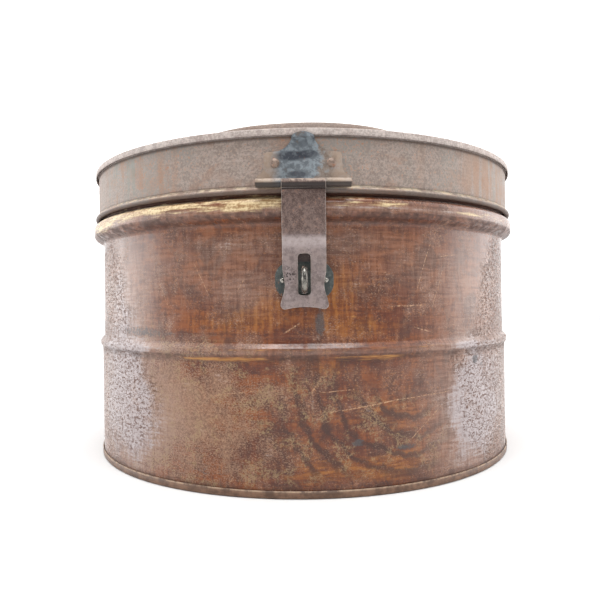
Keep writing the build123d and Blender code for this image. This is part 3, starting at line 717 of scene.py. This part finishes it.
class Iron(Finish):
    """Old hardware iron: two tones in fine clouds, leftovers of dark paint, rust bloom and pits."""

    def __init__(self, name, low, high):
        super().__init__(name)
        self.broad = self.noise(self.place, 95, 4, 0.62, 0.4)
        self.medium = self.noise(self.place, 360, 4, 0.68)
        self.fine = self.noise(self.place, 1700, 2, 0.7)
        grain = self.add(self.times(self.broad, 0.3), self.times(self.fine, 0.2))
        grain = self.add(self.times(self.medium, 0.6), grain)
        self.colour = self.mix(self.step(grain, 0.44, 0.66), low, high)
        self.dull = 0.0
        self.sunk = 0.0

    def coat(self, amount, colour, strength=0.85, sink=0.0):
        """A non-metallic layer over the iron; sink lowers it."""
        part = self.lay(amount, colour, strength)
        self.dull = self.math("MAXIMUM", self.dull, part)
        self.sunk = self.math("MAXIMUM", self.sunk, self.times(amount, sink))

    def rust(self, threshold):
        """Bloom of rust where two noises are both high."""
        both = self.add(self.medium, self.times(self.broad, 0.4))
        self.coat(self.step(both, threshold, threshold + 0.12), tone(142, 88, 58), 0.8)

    def pits(self, amount):
        """Small round black pits."""
        dots = self.step(self.cells(self.place, 430), 0.17, 0.08)
        dots = self.times(self.times(dots, self.step(self.broad, 0.48, 0.60)), amount)
        self.coat(dots, tone(36, 28, 26), 0.85, 1.0)

    def done(self, metal, rough_low, rough_high):
        """Bare iron between the two roughnesses, its coats matt, its pits sunk."""
        rough = self.blend(self.medium, rough_low, rough_high)
        rough = self.blend(self.dull, rough, 0.62)
        bare = self.blend(self.dull, metal, 0.0)
        bump = self.add(self.times(self.fine, 0.2), self.times(self.sunk, -1.0))
        bump = self.add(self.times(self.medium, 0.45), bump)
        return self.finish(rough, bare, bump, lift=0.00014, sheen=0.1)


def knuckle_highlight_and_shade(f):
    """Painted highlight atop and painted shade beneath the rolled knuckles in front of the lid's edge.
    """
    _, depth, height = f.axes()
    out = f.step(f.math("ABSOLUTE", depth), 0.1702, 0.1712)
    crown = f.times(out, f.band(height, 0.1834, 0.1845, 0.1860, 0.1870))
    f.coat(f.times(crown, f.step(f.medium, 0.40, 0.55)), tone(176, 158, 142), 0.6)
    f.coat(f.times(out, f.band(height, 0.1796, 0.1802, 0.1828, 0.1838)), tone(34, 26, 24), 0.9)


def plate_iron(name, remnants):
    """Pointed plate: blue-grey paint over brown iron, blue-black leftovers across it, rusty edges.

    Each of the remnants is (x, height, half-width, half-height, strength), in mm.
    """
    f = Iron(name, tone(104, 90, 80), tone(140, 128, 118))
    middle = f.spot(f.bent(f.place, 120, 0.008), (0, 0, 0), (17 * MM, 0, 0), 0.5)
    cover = f.add(f.add(f.broad, f.times(f.medium, 0.4)), f.times(middle, 0.25))
    paint = f.mix(f.step(f.medium, 0.4, 0.6), tone(84, 94, 102), tone(122, 134, 142))
    f.coat(f.step(cover, 0.66, 0.86), paint, 0.85)
    for at, high, wide, tall, strength in remnants:
        place = f.bent(f.bent(f.place, 240, 0.004), 700, 0.0016)
        near = f.spot(place, (at * MM, 0, high * MM), (wide * MM, 0, tall * MM), 0.45)
        f.coat(f.times(near, f.step(f.medium, 0.32, 0.56)), tone(40, 44, 54), strength)
    f.coat(f.step(f.math("ABSOLUTE", f.axes()[0]), 0.0120, 0.0200), tone(164, 142, 124), 0.65)
    f.rust(0.86)
    knuckle_highlight_and_shade(f)
    return f.done(0.25, 0.42, 0.60)


def strap_iron(name):
    """Strap: reddish brown with pits above its bend, pinkish-grey worn iron below it."""
    f = Iron(name, tone(116, 102, 99), tone(156, 142, 140))
    height = f.axes()[2]
    upper = f.step(f.add(height, f.times(f.add(f.broad, -0.5), 0.010)), 0.1500, 0.1570)
    shade = f.step(f.add(f.times(f.medium, 0.4), f.times(f.fine, 0.6)), 0.42, 0.60)
    brown = f.mix(shade, tone(72, 52, 45), tone(114, 90, 81))
    f.coat(upper, brown, 0.85)
    f.coat(f.times(upper, f.step(f.medium, 0.60, 0.68)), tone(160, 108, 76), 0.7)
    f.coat(f.step(f.add(f.broad, f.times(f.medium, 0.5)), 0.72, 0.90), tone(128, 108, 100), 0.35)
    # painted highlight along the bend, partly worn bright iron
    painted_bend_highlight = f.band(height, 0.1440, 0.1495, 0.1510, 0.1545)
    f.coat(f.times(painted_bend_highlight, f.step(f.medium, 0.10, 0.50)), tone(188, 174, 172), 0.6)
    mist = f.spot(f.bent(f.place, 200, 0.003), (-7 * MM, 0, 131 * MM), (5 * MM, 0, 7 * MM), 0.7)
    f.coat(f.times(mist, f.step(f.cells(f.place, 800), 0.50, 0.34)), tone(50, 38, 36), 0.9, 1.0)
    f.coat(f.times(upper, f.step(f.cells(f.place, 360), 0.16, 0.08)), tone(42, 32, 30), 0.8, 1.0)
    f.pits(0.6)
    knuckle_highlight_and_shade(f)
    return f.done(0.45, 0.36, 0.52)


def plain_iron(name, low, high, metal, rough_low, rough_high, rust, stain=None):
    """Iron with rust, pits and, if given, leftovers of one dark colour."""
    f = Iron(name, low, high)
    if stain:
        f.coat(f.step(f.broad, 0.50, 0.58), stain, 0.7)
    f.rust(rust)
    f.pits(0.7)
    return f.done(metal, rough_low, rough_high)


def worn_and_highlit_edge(name):
    """Bright iron along edges that hands and the strap have rubbed, also a painted highlight on the
    bevels.
    """
    f = Iron(name, tone(138, 126, 120), tone(190, 180, 172))
    f.coat(f.step(f.broad, 0.55, 0.62), tone(110, 90, 80), 0.6)
    return f.done(0.7, 0.30, 0.42)


def floor_finish():
    """Matt white of the backdrop."""
    f = Finish("studio_floor")
    f.colour = f.mix(f.noise(f.place, 3, 2), (0.72, 0.72, 0.72), (0.74, 0.74, 0.74))
    return f.finish(0.9)


# ---------------------------------------------------------------- build the sheets
wall = rounded_path(WALL_PATH, 2.2)
lap = rounded_path(LAP_PATH, 2.2)
skirt = rounded_path(SKIRT_PATH, 2.2)
base = rounded_path(BASE_PATH, 7.0)
lid = rounded_path(LID_PATH, 2.6)

# shape, marks, body, material
skirt_marks = marks_of(SKIRT_MARKS)
wall_look = (wall_shape, marks_of(MARKS), "box", japan_lacquer("japanned_wall"))
lid_material = lid_finish("faded_lid_lacquer")
crown_look = (lid_shape, skirt_marks, "lid", lid_material)
skirt_look = (skirt_shape, skirt_marks, "lid", lid_material)
base_look = (None, {}, "box", base_finish("base_seam_lacquer"))

# name, node, path, thickness, start degrees, arc degrees, steps, look
pieces = [
    ("wall_front_half", "body_panel_front", wall, -SHEET, -90, 180, HALF_STEPS, wall_look),
    ("wall_rear_half", "body_panel_rear", wall, -SHEET, 90, 180, HALF_STEPS, wall_look),
    ("side_lap_right", "body_panel_front", lap, SHEET, 89.75, 1.85, 4, wall_look),
    ("side_lap_left", "body_panel_front", lap, SHEET, -91.6, 1.85, 4, wall_look),
    ("folded_base", "base_pan", base, -SHEET, 0, 360, RING_STEPS, base_look),
    ("lid_crown", "lid_top", lid, SHEET, 0, 360, RING_STEPS, crown_look),
    ("skirt_front_half", "lid_skirt_front", skirt, SHEET, -90, 180, HALF_STEPS, skirt_look),
    ("skirt_rear_half", "lid_skirt_rear", skirt, SHEET, 90, 180, HALF_STEPS, skirt_look),
]
for name, node, path, thickness, start, arc, steps, look in pieces:
    shape, marks, body, material = look
    piece = turned_sheet(name, path, thickness, start, arc, steps, shape, marks)
    piece.data.materials.append(material)
    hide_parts(node)
    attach(piece, body)


# ---------------------------------------------------------------- ironwork
def eased(name, node, body, width, face, edge):
    """A CAD piece's own shape with its sharp edges rounded off by width and given the edge finish.

    Triangles that lie in one plane are joined first, so that the bevel runs along real edges only.
    """
    mesh = bpy.data.meshes.new(name)
    work = bmesh.new()
    work.from_mesh(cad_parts[node].data)
    bmesh.ops.remove_doubles(work, verts=work.verts, dist=MERGE)
    bmesh.ops.dissolve_limit(work, angle_limit=FLAT_TURN, verts=work.verts, edges=work.edges)
    for polygon in work.faces:
        polygon.smooth = True
        polygon.material_index = 0
    work.to_mesh(mesh)
    work.free()
    piece = bpy.data.objects.new(name, mesh)
    bpy.context.collection.objects.link(piece)
    mesh.materials.append(face)
    mesh.materials.append(edge)
    bevel = piece.modifiers.new("eased_edges", "BEVEL")
    bevel.width = width
    bevel.segments = 2
    bevel.limit_method = "ANGLE"
    bevel.angle_limit = SHARP_TURN
    bevel.material = 1
    bevel.harden_normals = True
    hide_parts(node)
    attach(piece, body)


# bevels get this bright iron: edge wear and painted highlight
rubbed_and_highlit_edge = worn_and_highlit_edge("rubbed_and_highlit_edge_iron")
strap_face = strap_iron("strap_iron")
front_remnants = [
    (-4, 200, 13, 3.6, 0.95), (6, 201, 8, 3.0, 0.9), (0, 189, 6.5, 3.2, 0.9), (3, 207, 4, 3, 0.5),
]
rear_remnants = [
    (5, 200, 10, 4.0, 0.9), (-9, 190, 6, 3.5, 0.8), (4, 140, 9, 5, 0.9), (-6, 168, 5, 8, 0.6),
]
front_plate = plate_iron("plate_iron", front_remnants)
rear_plate = plate_iron("rear_plate_iron", rear_remnants)

# name, darker and lighter tone, metal, lowest and highest roughness, rust threshold, stain
staple_face = plain_iron(
    "staple_plate_iron", tone(64, 68, 66), tone(98, 104, 100), 0.2, 0.42, 0.6, 0.80, tone(46, 52, 52)
)
wire = plain_iron("staple_wire", tone(132, 128, 122), tone(176, 172, 164), 0.9, 0.20, 0.34, 0.86)
loop_wire = plain_iron(
    "staple_loop_wire", tone(88, 86, 82), tone(146, 142, 134), 0.9, 0.16, 0.30, 0.86
)
rivet_iron = plain_iron("rivet_iron", tone(112, 94, 84), tone(158, 138, 124), 0.35, 0.40, 0.56, 0.76)
bail_iron = plain_iron(
    "bail_wire", tone(108, 100, 94), tone(150, 144, 136), 0.8, 0.28, 0.44, 0.78, tone(70, 60, 54)
)
grip_face = plain_iron(
    "grip_japanning", tone(58, 42, 36), tone(92, 68, 56), 0.1, 0.28, 0.42, 0.74, tone(44, 34, 30)
)

eased("slotted_strap", "hasp_strap", "hasp", STRAP_EASE, strap_face, rubbed_and_highlit_edge)
eased("hasp_leaf", "hasp_plate", "lid", PLATE_EASE, front_plate, rubbed_and_highlit_edge)
eased("rear_lid_leaf", "hinge_leaf_lid", "lid", PLATE_EASE, rear_plate, rubbed_and_highlit_edge)
eased("rear_box_leaf", "hinge_leaf_body", "box", PLATE_EASE, rear_plate, rubbed_and_highlit_edge)
eased("oblong_staple_plate", "staple_plate", "box", PLATE_EASE, staple_face, rubbed_and_highlit_edge)
eased("bail_eye_left", "handle_eye_left", "lid", EYE_EASE, rivet_iron, rubbed_and_highlit_edge)
eased("bail_eye_right", "handle_eye_right", "lid", EYE_EASE, rivet_iron, rubbed_and_highlit_edge)

# pieces whose CAD shape stays as it is, and what each is made of
kept = {
    "hasp_pin": rivet_iron,
    "rear_hinge_pin": rivet_iron,
    "staple_loop": loop_wire,
    "staple_rivets": wire,
    "hasp_plate_rivets": rivet_iron,
    "lid_hinge_rivets": rivet_iron,
    "body_hinge_rivets": rivet_iron,
    "neck_wire": wire,
    "lid_rim_wire": wire,
    "handle_rivets": rivet_iron,
    "carry_handle": bail_iron,
    "handle_grip": grip_face,
}
for node, material in kept.items():
    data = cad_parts[node].data
    if not data.materials:
        data.materials.append(material)
    for i in range(len(data.materials)):
        data.materials[i] = material

# ---------------------------------------------------------------- stage
FLOOR_HALF = 3.0
floor_corners = [(x * FLOOR_HALF, y * FLOOR_HALF, 0) for x, y in [(-1, -1), (1, -1), (1, 1), (-1, 1)]]
floor_mesh = bpy.data.meshes.new("studio_floor")
floor_mesh.from_pydata(floor_corners, [], [(0, 1, 2, 3)])
floor = bpy.data.objects.new("studio_floor", floor_mesh)
floor.location.z = -FLOOR_DROP
bpy.context.collection.objects.link(floor)
floor_mesh.materials.append(floor_finish())


def softbox(name, place, target, size, power):
    """A rectangular area light aimed at a point, size (width, height) in metres and power in watts."""
    data = bpy.data.lights.new(name, "AREA")
    data.shape = "RECTANGLE"
    data.size, data.size_y = size
    data.energy = power
    lamp = bpy.data.objects.new(name, data)
    lamp.location = place
    lamp.rotation_euler = (Vector(target) - Vector(place)).to_track_quat("-Z", "Y").to_euler()
    bpy.context.collection.objects.link(lamp)


softbox("key_overhead", (0.0, -0.45, 1.5), (0, 0, 0.1), (1.0, 0.5), 14)
softbox("key_front", (0.3, -1.25, 1.15), (0, 0, 0.1), (0.4, 0.3), 2.5)
softbox("side_left", (-1.3, 0.2, 0.5), (0, 0, 0.12), (1.0, 1.0), 5.5)
softbox("side_right", (1.3, 0.2, 0.5), (0, 0, 0.12), (1.0, 1.0), 5.5)

# a light tent: dim behind the camera, bright from the sides round to the back
TENT_DIM = 0.36
TENT_BRIGHT = 1.7
world = bpy.data.worlds.new("light_tent")
bpy.context.scene.world = world
world.use_nodes = True
tree = world.node_tree
tree.nodes.clear()
sky_out = tree.nodes.new("ShaderNodeOutputWorld")
sky = tree.nodes.new("ShaderNodeBackground")
where = tree.nodes.new("ShaderNodeTexCoord")
split = tree.nodes.new("ShaderNodeSeparateXYZ")
tree.links.new(where.outputs["Generated"], split.inputs[0])
ramp = tree.nodes.new("ShaderNodeMapRange")
ramp.interpolation_type = "SMOOTHSTEP"
tree.links.new(split.outputs[1], ramp.inputs["Value"])
ramp.inputs["From Min"].default_value = -0.9
ramp.inputs["From Max"].default_value = 0.15
ramp.inputs["To Min"].default_value = TENT_DIM
ramp.inputs["To Max"].default_value = TENT_BRIGHT
tree.links.new(ramp.outputs[0], sky.inputs["Strength"])
sky.inputs["Color"].default_value = (1, 1, 1, 1)
tree.links.new(sky.outputs[0], sky_out.inputs[0])

SENSOR = 36  # mm
LENS = 33.84  # mm
ROLL = math.radians(0.65)
camera_data = bpy.data.cameras.new("view_camera")
camera_data.sensor_width = SENSOR
camera_data.lens = LENS
camera = bpy.data.objects.new("view_camera", camera_data)
camera.location = (-0.0027, -0.4957, 0.1163)
camera.rotation_euler = (math.radians(90), ROLL, 0)
bpy.context.collection.objects.link(camera)
bpy.context.scene.camera = camera
bpy.context.scene.view_settings.view_transform = "Standard"
